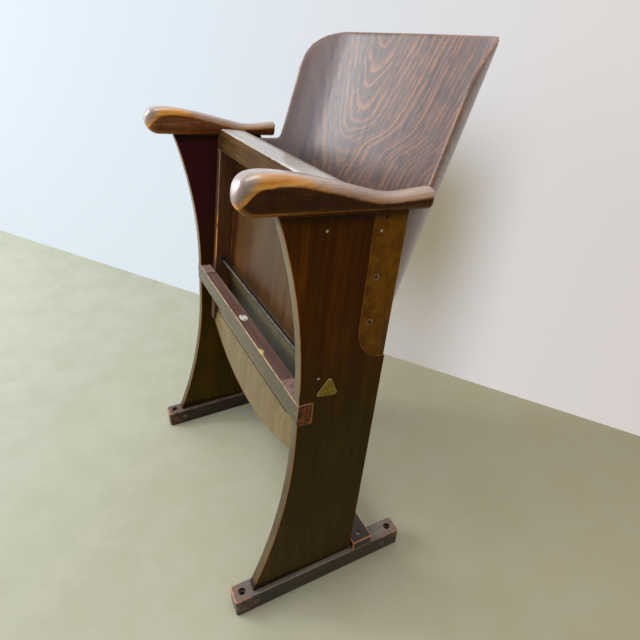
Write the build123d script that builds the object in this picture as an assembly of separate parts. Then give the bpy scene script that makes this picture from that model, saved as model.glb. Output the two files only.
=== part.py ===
from build123d import *
import math
import os

# A tip up auditorium seat, end unit of a row, in millimetres.
# World axes: X to the sitter's left, Y to the back, Z up. The origin is on the floor,
# midway between the four floor bolts.
# The panel axes (x, a, b) carry everything above the foot rails: a runs back, b up, and
# both lean back with the frame. The seat axes (x, t, s) start at the pivot: s runs from
# the pivot to the front edge of the seat, t from its underside to its top.

# --- Overall width and lean ---
inside_width = 508.0        # between the inner faces of the side panels
lean = 4.8                  # degrees that the frame leans back, for a raked floor

# --- Foot rails ---
foot_length = 332.0
foot_width = 34.0
foot_height = 38.0
foot_corner_r = 5.0
foot_edge_r = 3.0
floor_hole_spacing = 298.0  # front to back
floor_hole_r = 4.0
floor_counterbore_r = 6.5
floor_counterbore_depth = 8.0
peg_r = 5.0
peg_spacing = 257.0         # front to back
peg_height = 18.0

# --- Side panels ---
panel_t = 18.0
panel_top_b = 655.0
panel_rear_a = 60.0
panel_top_front_a = -121.0
panel_waist_a = -75.0
panel_waist_low_b = 309.0
panel_waist_high_b = 385.0
panel_foot_front_a = -131.0
panel_foot_b = -4.0
tenon_length = 34.0
tenon_width = 8.0
tenon_depth = 22.0
tenon_front_y = -88.0
tenon_rear_y = 22.0
mortise_spare = 1.5         # free depth under a tenon
wood_fit = 0.1              # clearance on each side of a tenon, dowel or peg

# --- Backrest ---
rebate_depth = 3.0
rebate_front_a = 9.0
rebate_bottom_b = 438.0
rebate_corner_r = 50.0
rebate_gap = 0.3            # shell to rebate edge
shell_t = 8.0
shell_rake = 14.8           # degrees back from the panel
shell_side_r = 105.0
shell_side_turn = 72.0      # degrees of the tight curve, before the flatter middle
ear_top_b = 653.0
wing_set_back = 35.5        # panel's rear edge to the wing's front edge, level with the ear's top
ear_fillet_r = 12.0
shell_top_z = 876.0         # above the floor
shell_corner_r = 90.0
shell_bolt_a = 25.5
shell_bolt_low_b = 497.0
shell_bolt_high_b = 565.0
shell_bolt_r = 3.0
bolt_fit = 0.15
bolt_head_r = 7.0
bolt_head_h = 2.6
washer_r = 8.0
washer_t = 1.2
bolt_nut_r = 5.0
bolt_nut_t = 4.0
nut_slot_width = 1.4
nut_slot_depth = 1.0

# --- Armrests ---
arm_outer_overhang = 8.0    # beyond the panel's outer face
arm_rear_overhang = 2.0     # beyond the panel's inner face, at the rear
arm_front_overhang = 11.0   # beyond the panel's inner face, at the front
arm_front_a = -172.0
arm_rear_a = 88.0
arm_bulb_a = -122.0
arm_bulb_h = 48.0
arm_neck_a = 18.0
arm_neck_h = 23.0
arm_rear_h = 28.0
arm_nose_a = -148.0         # front end of the flat underside
arm_nose_h = 22.0           # height of the foremost point
arm_nose_r = 22.0           # inner front corner, seen from above
arm_edge_r = 11.0
arm_dowel_r = 5.0
arm_dowel_length = 34.0
arm_dowel_in_arm = 14.0
arm_dowel_front_a = -78.0
arm_dowel_rear_a = -18.0

# --- Front cross rail ---
cross_depth = 24.0
cross_height = 36.0
cross_proud = 1.0           # in front of the panels' waist
cross_edge_r = 1.5
cross_screw_r = 4.0
cross_screw_length = 34.0
pad_length = 43.0
pad_t = 1.5
pad_inset = 3.0             # free strip beside the panel
pad_margin = 2.0
plate_length = 24.0
plate_width = 15.0
plate_t = 0.8
plate_x = 4.0               # off the middle of the rail
plate_pin_spacing = 15.0
pin_r = 0.9
pin_head_r = 1.8
pin_head_h = 0.7
pin_length = 8.0

# --- Rear stretcher, on the foot rails behind the panels ---
stretcher_depth = 40.0
stretcher_height = 20.0
stretcher_gap = 1.0
stretcher_edge_r = 2.0
stretcher_screw_r = 4.5
stretcher_screw_sunk = 3.0
stretcher_screw_length = 34.0

# --- Seat ---
pivot_a = -31.0
pivot_b = 399.0
pivot_t = 18.0              # pivot above the seat's underside
seat_side_gap = 8.0         # panel to seat
seat_front_s = 272.0
seat_rail_depth = 34.5      # at the pivot
seat_ply_rise = 1.2         # degrees that the rails deepen towards the front
seat_front_rail_width = 40.0
seat_side_rail_t = 19.0
seat_front_corner_r = 25.0
seat_rear_s = -208.0
seat_rear_r = 535.0
seat_rear_corner_r = 14.0
seat_ply_t = 5.0
dip_start_s = -60.0         # the ply's step down behind the pivot
dip_end_s = -145.0
dip_depth = 25.0
side_rail_rear_s = -146.0
seat_dowel_r = 4.0
seat_dowel_length = 50.0
stop_gap = 0.3
seat_nail_pitch = 76.0

# --- Pivot ---
rod_r = 4.0
rod_fit = 0.05
rod_end_inset = 1.0
bush_r = 6.5
bush_flange_r = 9.0
bush_flange_t = 1.5
spacer_r = 10.0
spacer_gap = 0.3
pivot_plate_side = 38.0
pivot_plate_turn = 85.0     # degrees from the rear to its top corner
pivot_plate_corner_r = 4.0
pivot_plate_t = 1.2
pivot_plate_pin_reach = 13.0  # centre of the plate to each pin
panel_nail_a = -48.0        # small nails in the panels' outer faces
panel_nail_b = 420.5
panel_top_nail_a = -58.0
panel_top_nail_drop = 20.0  # below the top of the panel
bay_nail_a = 22.0           # nail sunk flush in the bay's outer face
bay_nail_drop = 26.0
bay_hole_a = 27.5           # empty screw hole above it
bay_hole_drop = 8.0
bay_hole_r = 2.0

# --- Worked out from the sizes above ---
inner_x = inside_width / 2
outer_x = inner_x + panel_t
panel_mid_x = inner_x + panel_t / 2
foot_outer_x = panel_mid_x + foot_width / 2
arm_outer_x = outer_x + arm_outer_overhang
arm_rear_inner_x = inner_x - arm_rear_overhang
arm_front_inner_x = inner_x - arm_front_overhang
cross_front_a = panel_waist_a - cross_proud
cross_rear_a = cross_front_a + cross_depth
cross_top_b = pivot_b - pivot_t - stop_gap - pad_t
cross_bottom_b = cross_top_b - cross_height
seat_half = inner_x - seat_side_gap
stretcher_front_y = (
    panel_rear_a * math.cos(math.radians(lean))
    + (stretcher_height + panel_rear_a * math.sin(math.radians(lean))) * math.tan(math.radians(lean))
    + stretcher_gap
)

# Tipped up, the side rails lean on the lower rear edge of the cross rail.
stop_back = pivot_a - cross_rear_a
stop_down = pivot_b - cross_bottom_b
stop_reach = math.hypot(stop_back, stop_down)
seat_up_lean = math.degrees(
    math.acos((pivot_t + stop_gap) / stop_reach) - math.atan2(stop_down, stop_back)
)
seat_travel = 90.0 + seat_up_lean

frame_place = Pos(0, 0, foot_height) * Rot(-lean, 0, 0)
seat_place = frame_place * Pos(0, pivot_a, pivot_b) * Rot(-seat_up_lean, 0, 0)


def write(node, *solids):
    shape = solids[0] if len(solids) == 1 else Compound(children=list(solids))
    export_step(shape, f"parts/{node}.step")


def side_face(*edges):
    """A face drawn in (a, b), standing in the panel's plane."""
    return Plane.YZ * make_face(Wire(list(edges)))


def slab(face, x_from, x_to):
    """The face carried along X between two places."""
    return Pos(x_from, 0, 0) * extrude(face, x_to - x_from, dir=(1, 0, 0))


def mirrored(solid):
    return mirror(solid, about=Plane.YZ)


def x_pin(x_from, x_to, a, b, r):
    pin = Cylinder(r, x_to - x_from, align=(Align.CENTER, Align.CENTER, Align.MIN))
    return Pos(x_from, a, b) * Rot(0, 90, 0) * pin


def z_pin(x, y, z_from, z_to, r):
    return Pos(x, y, z_from) * Cylinder(
        r, z_to - z_from, align=(Align.CENTER, Align.CENTER, Align.MIN)
    )


# --- Foot rails ---

def foot_rail():
    body = Pos(panel_mid_x, 0, foot_height / 2) * Box(foot_width, foot_length, foot_height)
    body = fillet(body.edges().filter_by(Axis.Z), foot_corner_r)
    body = fillet(body.faces().sort_by(Axis.Z)[-1].edges(), foot_edge_r)
    for y in (-floor_hole_spacing / 2, floor_hole_spacing / 2):
        body -= z_pin(panel_mid_x, y, 0, foot_height, floor_hole_r)
        body -= z_pin(
            panel_mid_x, y, foot_height - floor_counterbore_depth, foot_height, floor_counterbore_r
        )
    for peg in foot_pegs(wood_fit):
        body -= peg
    for y in (tenon_front_y, tenon_rear_y):
        body -= tenon(y, wood_fit, mortise_spare)
    return body - stretcher_screw(wood_fit)


def foot_pegs(fit=0.0):
    ends = (panel_mid_x - foot_width / 2, panel_mid_x + foot_width / 2)
    return [
        x_pin(ends[0], ends[1], y, peg_height, peg_r + fit)
        for y in (-peg_spacing / 2, peg_spacing / 2)
    ]


def tenon(y, fit=0.0, deeper=0.0):
    depth = tenon_depth + deeper
    return Pos(panel_mid_x, y, foot_height - depth / 2) * Box(
        tenon_width + 2 * fit, tenon_length + 2 * fit, depth
    )


# --- Side panels ---

def panel_outline():
    top_front = (panel_top_front_a, panel_top_b)
    waist_high = (panel_waist_a, panel_waist_high_b)
    waist_low = (panel_waist_a, panel_waist_low_b)
    foot_front = (panel_foot_front_a, panel_foot_b - foot_height)
    foot_bend = (panel_foot_front_a, panel_foot_b)
    rear_low = (panel_rear_a, panel_foot_b - foot_height)
    rear_top = (panel_rear_a, panel_top_b)
    return side_face(
        TangentArc(waist_high, top_front, tangent=(0, 1)),
        Line(waist_high, waist_low),
        TangentArc(waist_low, foot_bend, tangent=(0, -1)),
        Line(foot_bend, foot_front),
        Line(foot_front, rear_low),
        Line(rear_low, rear_top),
        Line(rear_top, top_front),
    )


def rebate(gap=0.0):
    """The bay for the backrest's ear, open to the panel's top and rear edge."""
    front = rebate_front_a + gap
    low = rebate_bottom_b + gap
    r = rebate_corner_r - gap
    rear = front + r
    far = panel_rear_a + foot_width
    return side_face(
        Line((front, panel_top_b), (front, low + r)),
        RadiusArc((front, low + r), (rear, low), -r),
        Line((rear, low), (far, low)),
        Line((far, low), (far, panel_top_b)),
        Line((far, panel_top_b), (front, panel_top_b)),
    )


def side_panel():
    body = slab(panel_outline(), inner_x, outer_x)
    body -= slab(rebate(), inner_x, inner_x + rebate_depth)
    body -= slab(rebate(), outer_x - rebate_depth, outer_x)
    body -= cross_rail_blank()
    body -= x_pin(inner_x, outer_x, pivot_a, pivot_b, rod_r + rod_fit)
    for b in (shell_bolt_low_b, shell_bolt_high_b):
        body -= x_pin(inner_x, outer_x, shell_bolt_a, b, shell_bolt_r + bolt_fit)
        nut_from = outer_x - rebate_depth - bolt_nut_t
        body -= x_pin(nut_from, outer_x, shell_bolt_a, b, bolt_nut_r + bolt_fit)
    for dowel in arm_dowels(wood_fit):
        body -= dowel
    body -= cross_screw(wood_fit)
    body = frame_place * body
    body -= Pos(0, 0, foot_height / 2 - foot_length / 2) * Box(
        4 * inside_width, 4 * foot_length, foot_length + foot_height
    )
    for y in (tenon_front_y, tenon_rear_y):
        body += tenon(y)
    return body


# --- Front cross rail ---

def cross_rail_blank():
    mid_a = (cross_front_a + cross_rear_a) / 2
    mid_b = (cross_top_b + cross_bottom_b) / 2
    return Pos(0, mid_a, mid_b) * Box(2 * outer_x, cross_depth, cross_height)


def cross_screw(fit=0.0):
    mid_b = (cross_top_b + cross_bottom_b) / 2
    shank = Cylinder(
        cross_screw_r / 2 + fit, cross_screw_length, align=(Align.CENTER, Align.CENTER, Align.MIN)
    )
    head = Cone(
        cross_screw_r + fit, cross_screw_r / 2 + fit, cross_screw_r / 2,
        align=(Align.CENTER, Align.CENTER, Align.MIN),
    )
    return Pos(panel_mid_x, cross_front_a, mid_b) * Rot(-90, 0, 0) * (shank + head)


def cross_rail():
    body = cross_rail_blank()
    body = fillet(body.edges().filter_by(Axis.X), cross_edge_r)
    for screw in (cross_screw(wood_fit), mirrored(cross_screw(wood_fit))):
        body -= screw
    for x in plate_pin_places():
        body -= Pos(x, (cross_front_a + cross_rear_a) / 2, cross_top_b) * down_pin_hole()
    return frame_place * body


def rest_pad():
    """Leather under each side rail of the lowered seat."""
    x = inner_x - pad_inset - pad_length / 2
    a = (cross_front_a + cross_rear_a) / 2
    depth = cross_depth - 2 * pad_margin
    return frame_place * Pos(x, a, cross_top_b + pad_t / 2) * Box(pad_length, depth, pad_t)


def down_pin_hole():
    return Cylinder(pin_r + bolt_fit, pin_length, align=(Align.CENTER, Align.CENTER, Align.MAX))


def down_pin():
    """A small nail driven along minus Z, its head on the plane Z = 0."""
    head = Cylinder(pin_head_r, pin_head_h, align=(Align.CENTER, Align.CENTER, Align.MIN))
    shank = Cylinder(pin_r, pin_length - 1.0, align=(Align.CENTER, Align.CENTER, Align.MAX))
    return head + shank


def plate_pin_places():
    return (plate_x - plate_pin_spacing / 2, plate_x + plate_pin_spacing / 2)


def number_plate():
    blank = extrude(Ellipse(plate_length / 2, plate_width / 2), plate_t)
    blank = Pos(plate_x, 0, 0) * blank
    for x in plate_pin_places():
        blank -= Pos(x, 0, 0) * Cylinder(pin_r + bolt_fit, 4 * plate_t)
    return frame_place * Pos(0, (cross_front_a + cross_rear_a) / 2, cross_top_b) * blank


def number_plate_pins():
    mid_a = (cross_front_a + cross_rear_a) / 2
    return [
        frame_place * Pos(x, mid_a, cross_top_b + plate_t) * down_pin() for x in plate_pin_places()
    ]


# --- Rear stretcher ---

def stretcher_screw(fit=0.0):
    y = stretcher_front_y + stretcher_depth / 2
    top = foot_height + stretcher_height - stretcher_screw_sunk
    head = z_pin(panel_mid_x, y, top - stretcher_screw_sunk, top, stretcher_screw_r + fit)
    shank = z_pin(panel_mid_x, y, top - stretcher_screw_length, top, stretcher_screw_r / 2 + fit)
    return head + shank


def stretcher():
    y = stretcher_front_y + stretcher_depth / 2
    body = Pos(0, y, foot_height + stretcher_height / 2) * Box(
        2 * foot_outer_x, stretcher_depth, stretcher_height
    )
    body = fillet(body.faces().sort_by(Axis.Z)[-1].edges(), stretcher_edge_r)
    top = foot_height + stretcher_height
    for side in (1, -1):
        body -= z_pin(
            side * panel_mid_x, y, top - 2 * stretcher_screw_sunk, top, stretcher_screw_r + wood_fit
        )
    for screw in (stretcher_screw(wood_fit), mirrored(stretcher_screw(wood_fit))):
        body -= screw
    return body


# --- Armrests ---

def arm_profile():
    base = panel_top_b
    nose = (arm_front_a, base + arm_nose_h)
    bulb = (arm_bulb_a, base + arm_bulb_h)
    neck = (arm_neck_a, base + arm_neck_h)
    rear = (arm_rear_a, base + arm_rear_h)
    crest = Spline(nose, bulb, neck, rear, tangents=[(0, 1), (1, 0.12)])
    return side_face(
        crest,
        Line(rear, (arm_rear_a, base)),
        Line((arm_rear_a, base), (arm_nose_a, base)),
        TangentArc((arm_nose_a, base), nose, tangent=(-1, 0)),
    )


def arm_plan():
    """The arm from above: straight outside, swelling inwards at the front."""
    front = arm_front_a - 1
    rear = arm_rear_a + 1
    nose_bend = arm_front_a + arm_nose_r
    return make_face(
        Wire(
            [
                Line((arm_outer_x, front), (arm_outer_x, rear)),
                Line((arm_outer_x, rear), (arm_rear_inner_x, rear)),
                Line((arm_rear_inner_x, rear), (arm_rear_inner_x, arm_neck_a)),
                Spline(
                    (arm_rear_inner_x, arm_neck_a),
                    (arm_front_inner_x, arm_bulb_a),
                    tangents=[(0, -1), (0, -1)],
                ),
                Line((arm_front_inner_x, arm_bulb_a), (arm_front_inner_x, nose_bend)),
                TangentArc(
                    (arm_front_inner_x, nose_bend),
                    (arm_front_inner_x + arm_nose_r, arm_front_a - 1),
                    tangent=(0, -1),
                ),
                Line((arm_front_inner_x + arm_nose_r, front), (arm_outer_x, front)),
            ]
        )
    )


def armrest():
    body = slab(arm_profile(), arm_front_inner_x - 2, arm_outer_x)
    body &= Pos(0, 0, panel_top_b - 1) * extrude(arm_plan(), arm_bulb_h + 4)
    upper = [e for e in body.edges() if e.center().Z > panel_top_b + 1 and e.length > 2 * arm_bulb_h]
    body = fillet(upper, arm_edge_r)
    for dowel in arm_dowels(wood_fit):
        body -= dowel
    return frame_place * body


def arm_dowels(fit=0.0):
    high = panel_top_b + arm_dowel_in_arm + 10 * fit
    low = panel_top_b + arm_dowel_in_arm - arm_dowel_length - 10 * fit
    return [
        z_pin(panel_mid_x, a, low, high, arm_dowel_r + fit)
        for a in (arm_dowel_front_a, arm_dowel_rear_a)
    ]


# --- Backrest ---

def shell_section():
    """The bent board cut level with the top of its ears, seen from above."""
    outer = inner_x + rebate_depth
    turn = math.radians(shell_side_turn)
    start = (outer, panel_rear_a)
    bend_x = outer - shell_side_r * (1 - math.cos(turn))
    bend_a = panel_rear_a + shell_side_r * math.sin(turn)
    middle_r = bend_x / math.cos(turn)
    back_a = bend_a + middle_r * (1 - math.sin(turn))
    front_a = panel_rear_a - inside_width / 2
    outline = Wire(
        [
            Line((outer, front_a), start),
            TangentArc(start, (bend_x, bend_a), tangent=(0, 1)),
            ThreePointArc((bend_x, bend_a), (0, back_a), (-bend_x, bend_a)),
            TangentArc((-outer, panel_rear_a), (-bend_x, bend_a), tangent=(0, 1)),
            Line((-outer, front_a), (-outer, panel_rear_a)),
            Line((-outer, front_a), (outer, front_a)),
        ]
    )
    solid_section = make_face(outline)
    hollow = offset(solid_section, -shell_t)
    hollow = hollow + Pos(0, -shell_t, 0) * hollow
    return solid_section - hollow


def level_b(z, a):
    """The b of a point at height z above the floor."""
    back = math.radians(lean)
    return (z - foot_height + a * math.sin(back)) / math.cos(back)


def shell_side_view():
    """What is kept of the board, seen from the side: ear, wing and rounded corners."""
    rake = math.tan(math.radians(shell_rake))
    slope = math.tan(math.radians(lean))
    front = rebate_front_a + rebate_gap
    low = rebate_bottom_b + rebate_gap
    far = 3 * inside_width / 2
    wing_a = panel_rear_a + wing_set_back
    corner_b = (level_b(shell_top_z, wing_a) - ear_top_b * rake * slope) / (1 - rake * slope)
    corner_a = wing_a + (corner_b - ear_top_b) * rake
    view = make_face(
        Polyline(
            (front, low),
            (front, ear_top_b),
            (wing_a, ear_top_b),
            (corner_a, corner_b),
            (far, level_b(shell_top_z, far)),
            (far, low),
            close=True,
        )
    )
    for at, r in (
        ((front, low), rebate_corner_r - rebate_gap),
        ((wing_a, ear_top_b), ear_fillet_r),
        ((corner_a, corner_b), shell_corner_r),
    ):
        view = fillet(view.vertices().sort_by_distance((*at, 0))[0], r)
    return Plane.YZ * view


def backrest_shell():
    rake = math.radians(shell_rake)
    along = (0, math.sin(rake), math.cos(rake))
    below = (ear_top_b - rebate_bottom_b) + shell_t
    above = shell_top_z - ear_top_b
    foot = Pos(0, -below * math.tan(rake), ear_top_b - below)
    board = extrude(foot * shell_section(), (below + above) / math.cos(rake), dir=along)
    board &= slab(shell_side_view(), -inside_width, inside_width)
    ear_inside = inner_x + rebate_depth - shell_t
    for b in (shell_bolt_low_b, shell_bolt_high_b):
        hole = x_pin(0, inside_width, shell_bolt_a, b, shell_bolt_r + bolt_fit)
        seat = x_pin(0, ear_inside, shell_bolt_a, b, washer_r + bolt_fit)
        board = board - hole - seat - mirrored(hole) - mirrored(seat)
    return frame_place * board


def shell_fixing(b):
    """Bolt, washer and nut at one hole of the left ear, head inside."""
    inside = inner_x + rebate_depth - shell_t
    nut_in = outer_x - rebate_depth - bolt_nut_t
    head_at = inside - washer_t
    shank = x_pin(head_at, nut_in + bolt_nut_t - 0.5, shell_bolt_a, b, shell_bolt_r)
    head = x_pin(head_at - bolt_head_h, head_at, shell_bolt_a, b, bolt_head_r)
    head = fillet(head.faces().sort_by(Axis.X)[0].edges(), bolt_head_h * 0.8)
    washer = x_pin(head_at, inside, shell_bolt_a, b, washer_r)
    washer -= x_pin(head_at - 1, inside + 1, shell_bolt_a, b, shell_bolt_r + bolt_fit)
    nut = x_pin(nut_in, nut_in + bolt_nut_t, shell_bolt_a, b, bolt_nut_r)
    nut -= x_pin(nut_in - 1, outer_x, shell_bolt_a, b, shell_bolt_r + bolt_fit)
    nut -= Pos(nut_in + bolt_nut_t, shell_bolt_a, b) * Box(
        2 * nut_slot_depth, nut_slot_width, 3 * bolt_nut_r
    )
    return [frame_place * p for p in (shank + head, washer, nut)]


# --- Pivot ---

def pivot_rod():
    end = outer_x - rod_end_inset
    return frame_place * x_pin(-end, end, pivot_a, pivot_b, rod_r)


def pivot_spacer():
    x_from = seat_half + spacer_gap
    x_to = inner_x - spacer_gap
    ring = x_pin(x_from, x_to, pivot_a, pivot_b, spacer_r)
    ring -= x_pin(x_from - 1, x_to + 1, pivot_a, pivot_b, rod_r + bolt_fit)
    return frame_place * ring


def pivot_plate_pin_places():
    """(a, b) of the pins in the plate's top and rear corners."""
    turns = [math.radians(pivot_plate_turn), math.radians(pivot_plate_turn - 120)]
    reach = pivot_plate_pin_reach
    return [(pivot_a + reach * math.cos(t), pivot_b + reach * math.sin(t)) for t in turns]


def pivot_plate():
    """Brass triangle over the end of the rod."""
    reach = pivot_plate_side / math.sqrt(3)
    triangle = RegularPolygon(reach, 3, rotation=pivot_plate_turn)
    shape = fillet(triangle.vertices(), pivot_plate_corner_r)
    plate = Pos(outer_x, pivot_a, pivot_b) * extrude(Plane.YZ * shape, pivot_plate_t)
    for a, b in pivot_plate_pin_places():
        plate -= x_pin(outer_x - 1, outer_x + 2 * pivot_plate_t, a, b, pin_r + bolt_fit)
    return frame_place * plate


def pivot_plate_pins():
    face_x = outer_x + pivot_plate_t
    return [
        frame_place * Pos(face_x, a, b) * Rot(0, 90, 0) * down_pin()
        for a, b in pivot_plate_pin_places()
    ]


def panel_nail_places():
    return [(panel_nail_a, panel_nail_b), (panel_top_nail_a, panel_top_b - panel_top_nail_drop)]


def panel_nails():
    places = [(outer_x, a, b) for a, b in panel_nail_places()]
    places.append((outer_x - rebate_depth - pin_head_h, bay_nail_a, panel_top_b - bay_nail_drop))
    return [frame_place * Pos(*place) * Rot(0, 90, 0) * down_pin() for place in places]


def drill_panel_pins(panel):
    for a, b in pivot_plate_pin_places() + panel_nail_places():
        panel -= frame_place * x_pin(outer_x - pin_length, outer_x, a, b, pin_r + bolt_fit)
    bay_x = outer_x - rebate_depth
    for a, drop, r, depth in (
        (bay_nail_a, bay_nail_drop, pin_r + bolt_fit, pin_length),
        (bay_nail_a, bay_nail_drop, pin_head_r + bolt_fit, pin_head_h),
        (bay_hole_a, bay_hole_drop, bay_hole_r, pin_length),
    ):
        panel -= frame_place * x_pin(bay_x - depth, outer_x, a, panel_top_b - drop, r)
    return panel


# --- Seat, in (x, t, s) from the pivot; the ply lies in axes turned by its rise ---

def dip_arcs(t_high):
    """The step down of the ply, as two equal arcs, from its start to its end."""
    t_low = t_high - dip_depth
    mid = ((t_high + t_low) / 2, (dip_start_s + dip_end_s) / 2)
    return [
        TangentArc((t_high, dip_start_s), mid, tangent=(0, -1)),
        TangentArc((t_low, dip_end_s), mid, tangent=(0, 1)),
    ]


def ply_layer(t_from, t_to):
    """Between two surfaces that both follow the ply, past the seat's edges all round."""
    front = seat_front_s + seat_rail_depth
    rear = seat_rear_s - seat_rail_depth
    edges = [
        Line((t_from, front), (t_from, dip_start_s)),
        *dip_arcs(t_from),
        Line((t_from - dip_depth, dip_end_s), (t_from - dip_depth, rear)),
        Line((t_from - dip_depth, rear), (t_to - dip_depth, rear)),
        Line((t_to - dip_depth, rear), (t_to - dip_depth, dip_end_s)),
        *dip_arcs(t_to),
        Line((t_to, dip_start_s), (t_to, front)),
        Line((t_to, front), (t_from, front)),
    ]
    return Rot(-seat_ply_rise, 0, 0) * slab(Plane.YZ * make_face(Wire(edges)), -inner_x, inner_x)


ply_under_t = seat_rail_depth - pivot_t
ply_top_t = ply_under_t + seat_ply_t
far_t = 3 * seat_rail_depth


def seat_plan(rear_s, rear_corner_r):
    """The seat from above, drawn in (x, s), with a bowed rear edge."""
    if rear_corner_r:
        rise = seat_rear_r - math.sqrt(seat_rear_r**2 - seat_half**2)
    else:
        rise = 0
    corner = (seat_half, rear_s + rise)
    other = (-seat_half, rear_s + rise)
    rear = ThreePointArc(other, (0, rear_s), corner) if rise else Line(other, corner)
    left = (seat_half, seat_front_s)
    right = (-seat_half, seat_front_s)
    face = make_face(Wire([rear, Line(corner, left), Line(left, right), Line(right, other)]))
    for at, r in ((left, seat_front_corner_r), (right, seat_front_corner_r)):
        face = fillet(face.vertices().sort_by_distance((*at, 0))[0], r)
    if rise:
        for at in (corner, other):
            face = fillet(face.vertices().sort_by_distance((*at, 0))[0], rear_corner_r)
    return face


def plan_block(face):
    """The plan carried through and past the seat's thickness, from the rails' underside."""
    turned = Rot(90, 0, 0) * face
    return Pos(0, -pivot_t, 0) * extrude(turned, far_t, dir=(0, 1, 0))


def seat_side_rail():
    joint_s = seat_front_s - seat_front_rail_width
    length = joint_s - side_rail_rear_s
    body = Pos(seat_half, -pivot_t, side_rail_rear_s) * Box(
        seat_side_rail_t, far_t, length, align=(Align.MAX, Align.MIN, Align.MIN)
    )
    body -= ply_layer(ply_under_t, 2 * far_t)
    body -= x_pin(0, inside_width, 0, 0, bush_r + rod_fit)
    for dowel in seat_corner_dowels(wood_fit):
        body -= dowel
    return seat_place * body


def seat_front_rail():
    face = seat_plan(seat_front_s - seat_front_rail_width, 0)
    body = plan_block(face) - ply_layer(ply_under_t, 2 * far_t)
    for dowel in seat_corner_dowels(wood_fit):
        body -= dowel
        body -= mirrored(dowel)
    return seat_place * body


def seat_corner_dowels(fit=0.0):
    x = seat_half - seat_side_rail_t / 2
    joint_s = seat_front_s - seat_front_rail_width
    low = joint_s - seat_dowel_length / 2 - 10 * fit
    high = joint_s + seat_dowel_length / 2 + 10 * fit
    third = seat_rail_depth / 3
    return [z_pin(x, k * third - pivot_t, low, high, seat_dowel_r + fit) for k in (1, 2)]


def seat_ply():
    return ply_layer(ply_under_t, ply_top_t) & plan_block(seat_plan(seat_rear_s, seat_rear_corner_r))


def seat_nail_places():
    """(x, s) of the nails that hold the ply to the three rails."""
    side_x = seat_half - seat_side_rail_t / 2
    front_s = seat_front_s - seat_front_rail_width / 2
    front_x = seat_half - seat_front_corner_r
    across = round(2 * front_x / seat_nail_pitch)
    along = int((front_s - dip_start_s) // seat_nail_pitch)
    front = [(-front_x + 2 * front_x * k / across, front_s) for k in range(across + 1)]
    sides = [
        (side * side_x, front_s - seat_nail_pitch * k) for side in (1, -1) for k in range(1, along + 1)
    ]
    return front + sides


def seat_nail_at(x, s):
    return seat_place * Rot(-seat_ply_rise, 0, 0) * Pos(x, ply_top_t, s) * Rot(-90, 0, 0)


def seat_bush():
    inside = seat_half - seat_side_rail_t
    tube = x_pin(inside, seat_half, 0, 0, bush_r)
    tube += x_pin(inside - bush_flange_t, inside, 0, 0, bush_flange_r)
    tube -= x_pin(0, inside_width, 0, 0, rod_r + rod_fit)
    return seat_place * tube


# --- Build and write ---

def main():
    os.makedirs("parts", exist_ok=True)

    rail = foot_rail()
    write("left_foot_rail", rail)
    write("right_foot_rail", mirrored(rail))
    pegs = foot_pegs()
    write("foot_rail_pegs", *pegs, *[mirrored(p) for p in pegs])

    panel = drill_panel_pins(side_panel())
    write("left_side_panel", panel)
    write("right_side_panel", mirrored(panel))
    nails = panel_nails()
    write("panel_nails", *nails, *[mirrored(p) for p in nails])

    arm = armrest()
    write("left_armrest", arm)
    write("right_armrest", mirrored(arm))
    dowels = [frame_place * d for d in arm_dowels()]
    write("armrest_dowels", *dowels, *[mirrored(d) for d in dowels])

    write("front_cross_rail", cross_rail())
    screw = frame_place * cross_screw()
    write("cross_rail_screws", screw, mirrored(screw))
    pad = rest_pad()
    write("seat_rest_pads", pad, mirrored(pad))
    write("number_plate", number_plate())
    write("number_plate_pins", *number_plate_pins())

    write("rear_stretcher", stretcher())
    screw = stretcher_screw()
    write("stretcher_screws", screw, mirrored(screw))

    write("backrest_shell", backrest_shell())
    fixings = [shell_fixing(b) for b in (shell_bolt_low_b, shell_bolt_high_b)]
    for k, node in enumerate(("backrest_bolts", "backrest_washers", "backrest_nuts")):
        left = [f[k] for f in fixings]
        write(node, *left, *[mirrored(p) for p in left])

    write("pivot_rod", pivot_rod())
    spacer = pivot_spacer()
    write("pivot_spacers", spacer, mirrored(spacer))
    plate = pivot_plate()
    write("left_pivot_plate", plate)
    write("right_pivot_plate", mirrored(plate))
    pins = pivot_plate_pins()
    write("pivot_plate_pins", *pins, *[mirrored(p) for p in pins])

    write("seat_front_rail", drill_seat_nails(seat_front_rail()))
    side = drill_seat_nails(seat_side_rail())
    write("seat_left_rail", side)
    write("seat_right_rail", mirrored(side))
    dowels = [seat_place * d for d in seat_corner_dowels()]
    write("seat_corner_dowels", *dowels, *[mirrored(d) for d in dowels])
    write("seat_panel", drill_seat_nails(seat_place * seat_ply()))
    write("seat_panel_nails", *[seat_nail_at(x, s) * down_pin() for x, s in seat_nail_places()])
    bush = seat_bush()
    write("seat_left_bush", bush)
    write("seat_right_bush", mirrored(bush))

    pivot = frame_place * Pos(0, pivot_a, pivot_b)
    print("pivot at y, z:", round(pivot.position.Y, 3), round(pivot.position.Z, 3))
    print("seat travel in degrees:", round(seat_travel, 3))
    print("overall width:", 2 * foot_outer_x)


def drill_seat_nails(body):
    for x, s in seat_nail_places():
        body -= seat_nail_at(x, s) * down_pin_hole()
    return body


main()
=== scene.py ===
import math

import bmesh
import bpy
from mathutils import Matrix, Vector


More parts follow.
